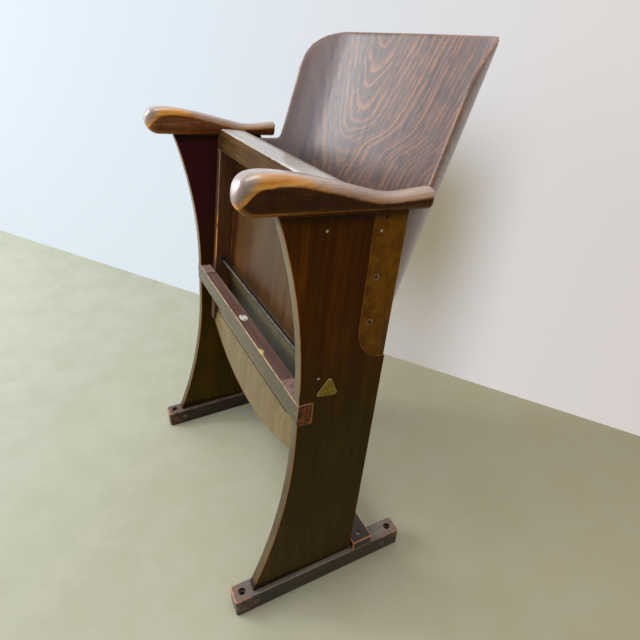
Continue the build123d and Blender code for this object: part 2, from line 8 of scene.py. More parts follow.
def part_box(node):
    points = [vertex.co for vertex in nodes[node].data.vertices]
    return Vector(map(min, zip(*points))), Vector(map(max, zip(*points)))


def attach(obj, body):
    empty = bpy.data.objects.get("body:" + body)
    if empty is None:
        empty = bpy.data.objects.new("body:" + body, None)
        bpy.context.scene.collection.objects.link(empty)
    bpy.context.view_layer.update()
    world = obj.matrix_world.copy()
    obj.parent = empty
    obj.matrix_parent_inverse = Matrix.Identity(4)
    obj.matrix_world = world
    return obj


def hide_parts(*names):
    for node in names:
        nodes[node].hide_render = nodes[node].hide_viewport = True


# A tip up auditorium seat in dark varnished beech. Metres; X to the sitter's left, Y to the
# back, Z up, the origin on the floor midway between the four floor bolts.

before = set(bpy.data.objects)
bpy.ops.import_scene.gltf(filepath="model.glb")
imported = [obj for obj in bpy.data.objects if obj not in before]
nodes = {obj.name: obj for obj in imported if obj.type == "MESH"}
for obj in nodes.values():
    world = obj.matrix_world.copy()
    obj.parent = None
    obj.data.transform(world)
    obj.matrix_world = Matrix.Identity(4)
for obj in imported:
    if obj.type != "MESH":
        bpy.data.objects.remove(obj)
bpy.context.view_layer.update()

# --- The photograph's view ---
photo_size = 640
focal_pixels = 491.2
view_azimuth = -62.85       # degrees from +Y towards +X
view_down = 30.71
view_roll = 1.12
camera_place = Vector((0.7578, -0.2608, 0.8804))
sensor_width = 36.0
near_clip = 0.02

# --- The room's two plain surfaces ---
floor_size = 9.0
floor_cool = Vector((-0.6, -0.7, 0.0))      # the floor's tone warms from here
floor_warm = Vector((0.6, 0.9, 0.0))        # to here
wall_foot_left = Vector((-0.935, 0.078, 0.0))
wall_foot_right = Vector((0.105, 0.766, 0.0))
wall_height = 4.0
wall_reach = 4.5
wall_glow = 0.97            # strength of the wall's own colour
wall_shown = 0.8            # the share of it that the camera and the gloss see

# --- Light ---
room_light = 0.80
room_light_dim = 0.36       # behind the camera
room_tint = (0.93, 0.96, 1.0, 1.0)
seat_middle = (-0.1, 0.2, 0.6)
lamps = (                   # name, place, aim, size, power and colour
    ("window", (-0.85, -2.3, 1.75), seat_middle, (2.0, 1.6), 36.0, (0.94, 0.97, 1.0)),
    ("bright_pane", (-1.5, -1.85, 1.75), seat_middle, (0.4, 1.5), 18.0, (0.90, 0.95, 1.0)),
    ("side_sheet", (-2.1, -1.55, 1.3), seat_middle, (1.9, 2.4), 32.0, (0.93, 0.96, 1.0)),
    ("ceiling", (0.45, -0.1, 2.5), (0.45, -0.1, 0.0), (1.3, 1.3), 15.0, (1.0, 0.97, 0.93)),
)

# --- How the pieces lean back ---
lean_degrees = 4.8          # the frame, as in the CAD
lean = math.radians(lean_degrees)
seat_lean = math.radians(lean_degrees + 2.749)      # the seat, tipped up
back_lean = math.radians(lean_degrees + 14.8)       # the backrest

# --- The way the grain runs: turns that bring it upright ---
grain_up = (lean, 0.0, 0.0)
grain_up_seat = (seat_lean, 0.0, 0.0)
grain_up_back = (back_lean, 0.0, 0.0)
grain_back = (math.radians(90.0), 0.0, 0.0)
grain_across = (0.0, math.radians(-90.0), 0.0)
grain_depth = 0.0001        # of the relief

# --- The side panels ---
panel_low, panel_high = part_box("left_side_panel")
panel_inner_x = panel_low.x
bay_depth = 0.003           # the bays in the rear edges of the outer faces
bay_face_x = panel_high.x - bay_depth

# --- A painted line of shade across the underside of the seat's ply ---
shade_line_z = 0.3193           # in the middle
shade_line_slope = 0.0125       # up towards the sitter's left

# --- The armrests' dark sides: their upper edge, highest behind the nose ---
arm_side_top_z = 0.7366
arm_side_fall = 0.0365
arm_nose_drop = 0.035

# --- The splinter missing from the cross rail's upper front arris ---
chip_place = (0.121, -0.0425, 0.4220)
chip_length = 0.012         # to either side
chip_depth = 0.006          # from front to back
chip_height = 0.0024

# --- Flame figure of the backrest ---
flame_x = 0.112             # its axis, this far to the sitter's right
flame_width = 0.028
flame_rise = 0.34           # how far a ring spreads for each metre up
flame_step_z = 0.715
flame_step_height = 0.030   # to either side
flame_step = 0.050
ring_width = 0.0145

# --- Edges of the tipped up seat that are rounded well over ---
rail_edge_z = 0.69          # the front rail's, above this
rail_edge_y = 0.035         # and in front of this
ply_edge_z = 0.66           # the ply's, above this
ply_edge_y = 0.055          # and behind this

# --- How CAD pieces are finished ---
doubles_gap = 1e-6
flat_angle = math.radians(0.4)      # faces that meet at less than this are one
arris_angle = math.radians(20.0)    # edges sharper than this are arrises
smooth_angle = math.radians(32.0)
arris_segments = 4
soft_segments = 8
strip_share = 0.6           # an arris's faces are narrower than this share of its width

# --- CAD pieces that keep their shape ---
peg_nodes = ("armrest_dowels", "seat_corner_dowels")
steel_nodes = (
    "cross_rail_screws", "stretcher_screws", "number_plate_pins", "pivot_plate_pins",
    "seat_panel_nails", "backrest_washers", "pivot_spacers", "seat_left_bush", "seat_right_bush",
)

# --- What the two sides don't share ---
sides = {
    "left": {
        "grain_shift": (0.0, 0.0, 0.0),
        "inner_red": (60, 30, 10),
        "arm_side": ((46, 20, 0), (72, 36, 4), (112, 64, 22)),
        "foot_top": ((96, 86, 79), (121, 110, 101), (147, 135, 125)),
    },
    "right": {
        "grain_shift": (0.31, 0.17, 0.0),
        "inner_red": (62, 26, 27),
        "arm_side": ((92, 46, 20), (132, 82, 50), (166, 114, 76)),
        "foot_top": ((64, 52, 44), (86, 72, 60), (110, 94, 80)),
    },
}


def linear(colour):
    """A colour as seen on a screen, 0 to 255, as light."""
    def channel(value):
        value /= 255.0
        return value / 12.92 if value <= 0.04045 else ((value + 0.055) / 1.055) ** 2.4
    return (*(channel(value) for value in colour), 1.0)


# --- Materials ---

class Field:
    """A value or colour that varies over a surface. Arithmetic on it adds the nodes."""

    def __init__(self, pattern, socket):
        self.pattern = pattern
        self.socket = socket

    def joined(self, operation, *values):
        return self.pattern.node("Math", {"operation": operation}, dict(enumerate(values)))

    def __add__(self, other):
        return self.joined("ADD", self, other)

    __radd__ = __add__

    def __sub__(self, other):
        return self.joined("SUBTRACT", self, other)

    def __rsub__(self, other):
        return self.joined("SUBTRACT", other, self)

    def __mul__(self, other):
        return self.joined("MULTIPLY", self, other)

    __rmul__ = __mul__

    def __truediv__(self, other):
        return self.joined("DIVIDE", self, other)

    def __pow__(self, other):
        return self.joined("POWER", self, other)

    def size(self):
        return self.joined("ABSOLUTE", self)

    def fraction(self):
        return self.joined("FRACT", self)

    def clamped(self):
        return self.joined("MINIMUM", self.joined("MAXIMUM", self, 0.0), 1.0)

    def ramp(self, low, high):
        """0 below low, 1 above high, smooth between; low may be the larger."""
        return self.pattern.node(
            "MapRange",
            {"interpolation_type": "SMOOTHSTEP"},
            {"Value": self, "From Min": low, "From Max": high},
            output="Result",
        )


class Pattern:
    """A tree of shader nodes, and the makers of the nodes that patterns use."""

    def __init__(self, tree):
        self.tree = tree

    def node(self, kind, settings=None, sockets=None, output=0):
        made = self.tree.nodes.new("ShaderNode" + kind)
        for key, value in (settings or {}).items():
            setattr(made, key, value)
        for key, value in (sockets or {}).items():
            self.plug(self.find(made.inputs, key), value)
        return Field(self, self.find(made.outputs, output))

    def first(self, kind):
        """The node of this type that the tree already has."""
        return next(node for node in self.tree.nodes if node.type == kind)

    @staticmethod
    def find(sockets, key):
        if isinstance(key, int):
            return sockets[key]
        return next(socket for socket in sockets if socket.name == key and socket.enabled)

    def plug(self, socket, value):
        if isinstance(value, Field):
            self.tree.links.new(value.socket, socket)
        else:
            socket.default_value = value

    def place(self, turn=(0.0, 0.0, 0.0), scale=(1.0, 1.0, 1.0), shift=(0.0, 0.0, 0.0)):
        """Object coordinates with shift taken off, then turned, then scaled."""
        own = self.node("TexCoord", output="Object")
        moved = self.node("VectorMath", {"operation": "SUBTRACT"}, {0: own, 1: shift})
        return self.node(
            "Mapping", {"vector_type": "POINT"}, {"Vector": moved, "Rotation": turn, "Scale": scale}
        )

    def scaled(self, place, scale):
        return self.node("VectorMath", {"operation": "MULTIPLY"}, {0: place, 1: scale})

    def part(self, place, axis):
        return self.node("SeparateXYZ", None, {"Vector": place}, output=axis)

    def at(self, axis, turn=(0.0, 0.0, 0.0)):
        """Metres along one axis of the object, or of the turned object."""
        return self.part(self.place(turn), axis)

    def facing(self, axis):
        """How far the surface faces along this axis, -1 to 1."""
        return self.part(self.node("NewGeometry", output="Normal"), axis)

    def attribute(self, name):
        return self.node("Attribute", {"attribute_name": name}, output="Fac")

    def noise(self, place, scale, detail, roughness, distortion=0.0):
        return self.node(
            "TexNoise",
            None,
            {
                "Vector": place, "Scale": scale, "Detail": detail,
                "Roughness": roughness, "Distortion": distortion,
            },
            output="Fac",
        )

    def mix(self, share, low, high):
        return self.node(
            "Mix",
            {"data_type": "RGBA"},
            {"Factor": share, "A": self.colour(low), "B": self.colour(high)},
            output="Result",
        )

    @staticmethod
    def colour(value):
        return value if isinstance(value, Field) else linear(value)

    def bump(self, height, depth, strength):
        """Normals of a relief of this depth in metres."""
        return self.node(
            "Bump", None, {"Height": height, "Distance": depth, "Strength": strength}, output="Normal"
        )


class Finish(Pattern):
    """A material with one glossy shader."""

    def __init__(self, name, **uniform):
        self.data = bpy.data.materials.new(name)
        self.data.use_nodes = True
        super().__init__(self.data.node_tree)
        self.shader = self.first("BSDF_PRINCIPLED")
        self.feed(**uniform)

    def feed(self, **values):
        """Sets or links the shader's sockets: base_color for Base Color, and so on."""
        for key, value in values.items():
            self.plug(self.shader.inputs[key.replace("_", " ").title().replace("Ior", "IOR")], value)


class Wood(Finish):
    """Varnished wood: its grain runs along z once the object's coordinates are turned."""

    def __init__(self, name, turn, shift=(0.0, 0.0, 0.0), ior=1.36, coat_ior=None, coat_roughness=0.16):
        super().__init__(name, ior=ior, coat_ior=coat_ior or ior, coat_roughness=coat_roughness)
        self.turned = self.place(turn, shift=shift)
        self.fibres = self.drawn_out(520.0, 0.035, 4.0, 0.6)
        self.streaks = self.drawn_out(110.0, 0.03, 3.0, 0.6, 0.3)
        self.bands = self.drawn_out(28.0, 0.05, 3.0, 0.55, 0.6)
        self.clouds = self.drawn_out(11.0, 0.5, 3.0, 0.55)
        self.flecks = self.drawn_out(900.0, 0.16, 1.0, 0.5).ramp(0.60, 0.72)
        self.patches = self.noise(self.place(shift=shift), 60.0, 4.0, 0.65)

    def drawn_out(self, scale, along_grain, *kind):
        """Noise whose scale is smaller along the grain, by this factor."""
        return self.noise(self.scaled(self.turned, (1.0, 1.0, along_grain)), scale, *kind)

    def stain(self, dark, middle, light):
        """The stained colour, mottled, streaked and flecked along the grain."""
        tone = self.bands * 0.25 + self.streaks * 0.35 + self.fibres * 0.4
        low = self.mix(tone.ramp(0.30, 0.62), dark, middle)
        high = self.mix((tone * 0.6 + self.clouds * 0.4).ramp(0.46, 0.72), low, light)
        return self.mix(self.flecks * 0.35, high, dark)

    def worn_through(self, where, colour, worn):
        """Unevenly worn through to paler wood."""
        uneven = self.patches * 2.2 + self.clouds * 1.6 - 1.35
        return self.mix((where * uneven).clamped(), colour, worn)

    def rubbed(self, colour, worn, much=1.0):
        """Worn through on the arrises that the mesh marks."""
        return self.worn_through(self.attribute("rub") * (1.5 * much), colour, worn)

    def varnish(self, colour, coat=1.0):
        """Feeds the colour with a slightly uneven gloss and a fine relief of the grain."""
        smears = self.noise(self.place(), 22.0, 4.0, 0.65, 0.5)
        self.feed(
            base_color=colour,
            roughness=0.24 + smears * 0.20 + self.fibres * 0.06,
            coat_weight=(0.25 + smears * 0.5) * coat,
            normal=self.bump(self.fibres + self.flecks * 0.5, grain_depth, 0.5),
        )
        return self.data


def side_panel_wood(name, shift, inner_red):
    """The panels: dark brown, redder at the top, bays rubbed to amber, a painted reflection on the front
    edges, painted shade under the armrest and above the foot.
    """
    wood = Wood(name, grain_up, shift, ior=1.14)
    outward = wood.at("X").size()
    back = wood.at("Y", grain_up)
    height = wood.at("Z", grain_up)
    dark = wood.stain((46, 32, 0), (60, 42, 0), (78, 56, 2))
    red = wood.stain((58, 26, 0), (76, 37, 0), (106, 60, 0))
    inside = outward.ramp(panel_inner_x + 0.0020, panel_inner_x + 0.0005)
    red = wood.mix(inside, red, inner_red)
    reddening = (wood.part(wood.turned, "Z") + wood.clouds * 0.12).ramp(0.40, 0.62)
    colour = wood.mix(reddening, dark, red)
    amber = wood.stain((86, 50, 2), (108, 66, 6), (132, 88, 20))
    amber = wood.mix(wood.patches.ramp(0.42, 0.60), amber, (124, 78, 10))
    rear_edge = back.ramp(0.030, 0.055) * height.ramp(0.58, 0.50)
    amber = wood.mix(rear_edge * (0.2 + wood.clouds * 0.9), amber, (86, 58, 34))
    in_bay = outward.ramp(bay_face_x + 0.0022, bay_face_x + 0.0006)
    in_bay = in_bay * outward.ramp(bay_face_x - 0.0020, bay_face_x - 0.0004)
    in_bay = in_bay * back.ramp(0.000, 0.004)
    colour = wood.mix((in_bay * (0.6 + wood.clouds * 0.7)).clamped(), colour, amber)
    # Painted reflection: the front edges are coloured grey olive for the floor they reflect, dimmer lower
    # down.
    front = wood.facing("Y").ramp(-0.55, -0.80)
    front_reflection_low = wood.stain((68, 58, 40), (88, 76, 55), (108, 94, 70))
    front_reflection_high = wood.stain((90, 81, 60), (112, 102, 79), (136, 124, 98))
    colour = wood.mix(front, colour, wood.mix(height.ramp(0.25, 0.50), front_reflection_low, front_reflection_high))
    worn = wood.mix(height.ramp(0.25, 0.55), (150, 84, 40), (184, 116, 58))
    beside_bay = back.ramp(0.004, 0.010) * height.ramp(0.45, 0.47)
    worn = wood.mix(beside_bay, worn, (112, 76, 38))
    colour = wood.rubbed(colour, worn, 1.3)
    # Painted shade: darker at the panel's top end under the armrest and at its foot above the foot rail.
    shade_under_arm = height.ramp(0.674, 0.694) * 0.8
    shade_above_foot = height.ramp(0.047, 0.040) * 0.75
    return wood.varnish(wood.mix(shade_under_arm + shade_above_foot, colour, (26, 14, 2)))


def plain_wood(name, turn, tones, worn, much):
    """Stained wood in three tones, worn through on its arrises."""
    wood = Wood(name, turn)
    return wood.varnish(wood.rubbed(wood.stain(*tones), worn, much))


def foot_wood(name, shift, top_tones):
    """The foot rails: dark at the sides, greyer on top, copper where the ends are worn."""
    wood = Wood(name, grain_back, shift, ior=1.28)
    up = wood.facing("Z")
    side = wood.stain((40, 30, 20), (56, 44, 32), (78, 64, 50))
    colour = wood.mix(up.ramp(0.4, 0.9), side, wood.stain(*top_tones))
    ends = (wood.at("Y").size() + (wood.patches - 0.5) * 0.05).ramp(0.125, 0.160)
    colour = wood.mix(ends * wood.patches.ramp(0.40, 0.62) * 0.55, colour, (136, 92, 70))
    worn = wood.mix(ends, (134, 108, 88), (196, 134, 98))
    arris = up.ramp(0.30, 0.55) * up.ramp(0.97, 0.85)
    return wood.varnish(wood.worn_through(arris * (1.0 + ends), colour, worn))


def front_rail_wood(name):
    """The seat's front rail: olive brown below, worn smooth along the edge you sit over and coloured pale
    there, partly wear and partly a painted sheen.
    """
    wood = Wood(name, grain_across, ior=1.08, coat_ior=1.8)
    face = wood.stain((58, 38, 16), (84, 60, 33), (112, 84, 52))
    # Partly wear and partly painted sheen: the edge you sit over is coloured pale, palest towards the
    # sitter's left, for worn wood and for the wall it reflects.
    edge = wood.stain((152, 142, 132), (174, 164, 154), (194, 186, 178))
    left_part_sheen = wood.at("X").ramp(0.02, 0.16) * 0.6
    edge = wood.mix(left_part_sheen, edge, (214, 207, 200))
    pale = (wood.facing("Z") + (wood.patches - 0.5) * 0.6).ramp(0.45, 0.60)
    colour = wood.rubbed(wood.mix(pale, face, edge), (150, 126, 102), 0.5)
    return wood.varnish(colour, coat=pale * 1.3)


def cross_rail_wood(name):
    """The cross rail: purple-brown, with amber end grain where it comes through the panels."""
    wood = Wood(name, grain_across, ior=1.28)
    face = wood.stain((60, 46, 30), (82, 66, 44), (108, 90, 64))
    top = wood.stain((86, 61, 54), (108, 81, 73), (136, 108, 97))
    colour = wood.mix(wood.facing("Z").ramp(0.3, 0.8), face, top)
    pores = wood.noise(wood.place(scale=(1.0, 1.0, 0.45)), 240.0, 4.0, 0.75)
    end_grain = wood.mix(pores.ramp(0.43, 0.63), (24, 8, 0), (142, 64, 0))
    colour = wood.mix(wood.facing("X").size().ramp(0.6, 0.9), colour, end_grain)
    colour = wood.rubbed(colour, (188, 150, 106), 0.8)
    around = wood.place(shift=chip_place)
    away = (wood.part(around, "X") / chip_length).size()
    away = away + (wood.part(around, "Y") / chip_depth).size()
    away = away + (wood.part(around, "Z") / chip_height).size()
    chip = (away + (pores - 0.5) * 2.4).ramp(1.1, 0.9)
    return wood.varnish(wood.mix(chip, colour, (206, 174, 112)))


def arm_wood(name, shift, side_tones):
    """The armrests: dark flat sides, pale crowns that are partly a painted sheen, rubbed to gold where
    hands and sleeves go.
    """
    wood = Wood(name, grain_back, shift, ior=1.22, coat_ior=1.9, coat_roughness=0.24)
    length = wood.at("Y")
    up = wood.facing("Z")
    patchy = (wood.patches - 0.5) * 2.0 + (wood.streaks - 0.5)
    side = wood.mix(wood.patches.ramp(0.42, 0.62) * 0.6, wood.stain(*side_tones), side_tones[0])
    # The crown's pale tones are partly its own worn colour and partly a painted sheen.
    top = wood.stain((156, 129, 114), (181, 156, 142), (205, 182, 168))
    nose_top = length.ramp(-0.084, -0.106) * 0.35
    top = wood.mix(nose_top, top, (84, 62, 44))
    edge = arm_side_top_z - length.ramp(-0.070, 0.090) * arm_side_fall
    edge = edge - length.ramp(-0.068, -0.130) ** 2 * arm_nose_drop
    above = wood.at("Z") - edge + patchy * 0.0012
    colour = wood.mix(above.ramp(-0.0010, 0.0030), side, top)
    gold = wood.stain((190, 108, 14), (232, 156, 56), (255, 206, 116))
    band = above.ramp(-0.0020, 0.0004) * above.ramp(0.0110, 0.0020)
    under = wood.facing("X").size().ramp(0.97, 0.85) * up.ramp(-0.1, -0.4) * 0.4
    forward = length.ramp(0.01, -0.05)
    sleeve = (band + under) * (0.30 + forward * 0.45 + patchy * 0.7)
    hand = above.ramp(0.0, 0.003) * up.ramp(1.0, 0.86)
    hand = hand * length.ramp(-0.015, -0.05) * length.ramp(-0.100, -0.078)
    rub = hand * (0.80 + patchy * 0.4) + sleeve
    sheen = (up - wood.facing("Y") * 0.2).ramp(0.1, 0.75)
    return wood.varnish(wood.mix(rub.clamped(), colour, gold), coat=0.08 + sheen * 2.4)


def flame_figure(wood, across, height):
    """Thin ragged lines, 0 to 1: bowls that widen upwards, with one step in them."""
    sway = (wood.noise(wood.place(), 9.0, 2.0, 0.5) - 0.5) * 0.030
    ragged = (wood.drawn_out(260.0, 0.12, 3.0, 0.7) - 0.5) * 0.011
    from_axis = (across + flame_x) / flame_width
    bowl = (from_axis * from_axis + 1.0) ** 0.5 * flame_width
    stepped = height.ramp(flame_step_z - flame_step_height, flame_step_z + flame_step_height)
    stepped = stepped * across.ramp(-0.17, -0.06) * flame_step
    ring = bowl - (height - flame_step_z) * flame_rise - stepped + sway + ragged
    spacing = wood.noise(wood.node("CombineXYZ", None, {"X": ring}), 22.0, 2.0, 0.6) * 0.05
    phase = ((ring + spacing) / ring_width).fraction()
    strength = wood.node("CombineXYZ", None, {"X": ring, "Y": height * 0.6})
    strength = wood.noise(strength, 34.0, 2.0, 0.7).ramp(0.33, 0.58)
    strength = strength * (0.40 + across.ramp(-0.24, -0.10) * 0.60)
    return phase.ramp(0.45, 0.93) * phase.ramp(1.0, 0.96) * strength


def back_veneer(name):
    """The backrest: purple-brown, with flame figure in thin ragged orange lines, a painted bluish sheen on
    its right wing and painted light on faces turned to the sitter's left.
    """
    wood = Wood(name, grain_up_back, coat_roughness=0.28)
    across = wood.at("X")
    grain = (wood.streaks * 0.6 + wood.fibres * 0.5).ramp(0.40, 0.68)
    colour = wood.mix(grain, (60, 50, 51), (94, 82, 83))
    line = flame_figure(wood, across, wood.at("Z")) * (0.40 + wood.fibres * 0.9)
    colour = wood.mix(line.clamped(), colour, (158, 110, 80))
    colour = wood.mix(wood.flecks * 0.3, colour, (48, 30, 26))
    # Painted sheen: the right wing is coloured paler and bluish.
    right_wing_sheen = across.ramp(-0.16, -0.23) * 0.30
    colour = wood.mix(right_wing_sheen, colour, (128, 130, 152))
    # Painted light: faces turned to the sitter's left are coloured paler.
    outer_face_light = wood.facing("X").ramp(0.55, 0.75) * 0.30
    colour = wood.mix(outer_face_light, colour, (196, 176, 162))
    return wood.varnish(wood.rubbed(colour, (150, 106, 78)))


def seat_side_wood(name):
    """The seat's side rails: brown, their arrises worn grey, and amber just above the pivot."""
    wood = Wood(name, grain_up_seat)
    height = wood.at("Z") + wood.bands * 0.02
    worn = wood.mix(height.ramp(0.44, 0.47), (92, 82, 62), (236, 150, 58))
    worn = wood.mix(height.ramp(0.54, 0.56), worn, (138, 120, 104))
    return wood.varnish(wood.rubbed(wood.stain((74, 44, 26), (102, 64, 38), (130, 88, 54)), worn, 1.8))


def seat_veneer(name):
    """The seat's ply: warm brown above the rod, painted grey olive for the light it catches where it steps
    down behind it, with a painted line of shade and painted shade behind the cross rail.
    """
    wood = Wood(name, grain_up_seat, ior=1.2)
    across = wood.at("X")
    height = wood.at("Z")
    warm = wood.stain((54, 30, 8), (74, 46, 18), (100, 68, 32))
    # Painted light: below the rod the ply is coloured grey olive, and paler still lower down, for the light
    # it catches there.
    grey = wood.stain((82, 68, 36), (106, 92, 56), (130, 114, 74))
    pale = wood.stain((98, 80, 48), (122, 104, 68), (144, 124, 86))
    grey = wood.mix((height + wood.clouds * 0.04).ramp(0.39, 0.32), grey, pale)
    colour = wood.mix((height + wood.clouds * 0.05).ramp(0.47, 0.40), warm, grey)
    # Partly wear and partly painted sheen: the ply's upward facing front rim is coloured pale.
    front_edge = (wood.facing("Z") + (wood.patches - 0.5) * 0.3).ramp(0.2, 0.6)
    front_edge = front_edge * height.ramp(0.680, 0.690)
    colour = wood.mix(front_edge, colour, (152, 138, 124))
    # Painted shade: a dark line across the ply's underside.
    from_shade_line = (height - across * shade_line_slope - shade_line_z).size()
    shade_line = from_shade_line.ramp(0.0016, 0.0006) * across.ramp(0.180, 0.165)
    # Painted shade: a dark band on the ply just behind the cross rail.
    shade_behind_rail = height.ramp(0.410, 0.378) * height.ramp(0.335, 0.350) * 0.9
    underside = wood.facing("Y").ramp(-0.2, -0.6)
    dark = (shade_line + shade_behind_rail).clamped() * underside
    colour = wood.mix(dark, colour, (30, 21, 8))
    return wood.varnish(wood.rubbed(colour, (150, 122, 94), 0.8), coat=1.0 - dark)


def dull_metal(name, colour, tarnish, roughness, rim=None):
    """Tarnished metal, brighter on its rim where it has one."""
    metal = Finish(name, metallic=1.0)
    spots = metal.noise(metal.place(), 380.0, 4.0, 0.65)
    clouds = metal.noise(metal.place(), 90.0, 3.0, 0.6)
    face = metal.mix((spots * 0.6 + clouds * 0.5).ramp(0.42, 0.7), colour, tarnish)
    metal.feed(
        base_color=metal.mix(metal.attribute("rub"), face, rim) if rim else face,
        roughness=roughness + (spots - 0.5) * 0.25,
        normal=metal.bump(spots, 0.00004, 0.4),
    )
    return metal.data


def stained_metal(name):
    """Bolt ends that were varnished over with the panel, worn bright on their rims."""
    metal = Finish(name, metallic=0.0, ior=1.2)
    spots = metal.noise(metal.place(), 240.0, 3.0, 0.6)
    brown = metal.mix(spots.ramp(0.35, 0.65), (104, 62, 20), (64, 36, 10))
    bright = (metal.attribute("rub") * (spots * 4.0 - 1.2)).clamped()
    metal.feed(
        base_color=metal.mix(bright, brown, (214, 186, 156)),
        roughness=0.3 + spots * 0.3,
    )
    return metal.data


def rest_leather(name):
    """Brown leather, clouded, with a fine pebbled grain."""
    leather = Finish(name)
    grains = leather.node(
        "TexVoronoi",
        {"feature": "DISTANCE_TO_EDGE"},
        {"Vector": leather.place(), "Scale": 700.0},
        output="Distance",
    )
    clouds = leather.noise(leather.place(), 90.0, 3.0, 0.6)
    leather.feed(
        base_color=leather.mix(clouds.ramp(0.3, 0.7), (122, 90, 82), (150, 118, 106)),
        roughness=0.5 + clouds * 0.2,
        normal=leather.bump(grains.ramp(0.0, 0.25), grain_depth, 0.7),
    )
    return leather.data


def plate_enamel(name):
    """White enamel, greyer in spots and dark at its oval rim."""
    enamel = Finish(name, coat_weight=0.4)
    spots = enamel.noise(enamel.place(), 500.0, 3.0, 0.6)
    face = enamel.mix(spots.ramp(0.45, 0.75), (226, 224, 212), (188, 182, 166))
    rim = enamel.attribute("rub").ramp(0.2, 0.9)
    enamel.feed(
        base_color=enamel.mix(rim, face, (96, 84, 76)),
        roughness=0.25 + spots * 0.2,
    )
    return enamel.data


# --- The view, floor and light ---

def photo_camera():
    """A camera where the photograph was taken, turned as it was."""
    azimuth, down, roll = (math.radians(angle) for angle in (view_azimuth, view_down, view_roll))
    level = Vector((math.sin(azimuth), math.cos(azimuth), 0.0))
    forward = level * math.cos(down) - Vector((0.0, 0.0, math.sin(down)))
    right = Vector((math.cos(azimuth), -math.sin(azimuth), 0.0))
    up = right.cross(forward)
    side = math.cos(roll) * right + math.sin(roll) * up
    top = -math.sin(roll) * right + math.cos(roll) * up
    data = bpy.data.cameras.new("photo_camera")
    data.sensor_width = sensor_width
    data.lens = focal_pixels / photo_size * sensor_width
    data.clip_start = near_clip
    camera = bpy.data.objects.new("photo_camera", data)
    turned = Matrix((side, top, -forward)).transposed().to_4x4()
    camera.matrix_world = Matrix.Translation(camera_place) @ turned
    bpy.context.scene.collection.objects.link(camera)
    bpy.context.scene.camera = camera


def stage_plane(name, corners, material):
    """One flat face of the room."""
    mesh = bpy.data.meshes.new(name)
    mesh.from_pydata(corners, [], [tuple(range(len(corners)))])
    mesh.materials.append(material)
    plane = bpy.data.objects.new(name, mesh)
    bpy.context.scene.collection.objects.link(plane)


def metres_towards(paint, start, end):
    """Metres from one point of the floor towards another."""
    way = (end - start).normalized()
    place = paint.place(shift=start)
    return paint.part(place, "X") * way.x + paint.part(place, "Y") * way.y


def floor_paint():
    """A pale green-grey floor, cloudy, and warmer towards the wall's right end."""
    paint = Finish("pale_floor", roughness=0.6)
    warmth = metres_towards(paint, floor_cool, floor_warm).ramp(0.0, (floor_warm - floor_cool).length)
    clouds = paint.noise(paint.place(), 9.0, 6.0, 0.7, 0.2)
    colour = paint.mix(warmth, (160, 160, 138), (182, 173, 140))
    paint.feed(base_color=paint.mix(clouds.ramp(0.35, 0.65) * 0.3, colour, (186, 184, 166)))
    return paint.data


def wall_paint():
    """A pale wall, with a painted soft shadow of the seat behind it, that shows its own colour to the
    camera.
    """
    paint = Finish("pale_wall", roughness=0.8)
    reach = metres_towards(paint, wall_foot_left, wall_foot_right)
    height = paint.at("Z")
    colour = paint.mix(reach.ramp(0.04, 1.48), (224, 233, 241), (228, 221, 218))
    # Painted shadow: the seat's soft shadow on the wall, fading away from the seat.
    shade = reach.ramp(1.12, 0.86) * reach.ramp(0.45, 0.75) * height.ramp(0.78, 0.50)
    shade = shade * (0.55 + height.ramp(0.05, 0.45) * 0.45)
    colour = paint.mix(shade, colour, (160, 148, 124))
    paint.feed(base_color=colour)
    lit = Field(paint, paint.shader.outputs[0])
    glow = paint.node("Emission", None, {"Color": colour, "Strength": wall_glow})
    seen = paint.node("LightPath", output="Is Camera Ray") + paint.node("LightPath", output="Is Glossy Ray")
    front = paint.node("MixShader", None, {0: seen * wall_shown, 1: lit, 2: glow})
    behind = paint.node("NewGeometry", output="Backfacing")
    clear = paint.node("BsdfTransparent")
    both = paint.node("MixShader", None, {0: behind, 1: front, 2: clear})
    paint.plug(paint.first("OUTPUT_MATERIAL").inputs["Surface"], both)
    return paint.data


def floor_and_wall():
    """The floor, and one wall that can be seen through from behind."""
    half = floor_size / 2
    corners = [(-half, -half, 0), (half, -half, 0), (half, half, 0), (-half, half, 0)]
    stage_plane("floor", corners, floor_paint())
    way = (wall_foot_right - wall_foot_left).normalized()
    start = wall_foot_left - way * wall_reach
    end = wall_foot_right + way * wall_reach
    rise = Vector((0, 0, wall_height))
    stage_plane("wall", [start, end, end + rise, start + rise], wall_paint())


def area_light(name, place, aim, size, power, colour):
    """A flat lamp, turned towards its aim."""
    data = bpy.data.lights.new(name, "AREA")
    data.shape = "RECTANGLE"
    data.size, data.size_y = size
    data.energy = power
    data.color = colour
    lamp = bpy.data.objects.new(name, data)
    turn = (Vector(aim) - Vector(place)).to_track_quat("-Z", "Y")
    lamp.matrix_world = Matrix.Translation(place) @ turn.to_matrix().to_4x4()
    bpy.context.scene.collection.objects.link(lamp)


def soft_light():
    """An even pale room, dimmer behind the camera, with a window and a sheet of white at the left."""
    world = bpy.data.worlds.new("room_light")
    world.use_nodes = True
    room = Pattern(world.node_tree)
    behind_camera = room.part(room.node("TexCoord", output="Generated"), "X").ramp(-0.6, 0.9)
    background = room.first("BACKGROUND")
    room.plug(background.inputs["Color"], room_tint)
    room.plug(background.inputs["Strength"], room_light - behind_camera * (room_light - room_light_dim))
    bpy.context.scene.world = world
    for lamp in lamps:
        area_light(*lamp)


# --- Pieces ---

def select_only(piece):
    bpy.ops.object.select_all(action="DESELECT")
    piece.select_set(True)
    bpy.context.view_layer.objects.active = piece


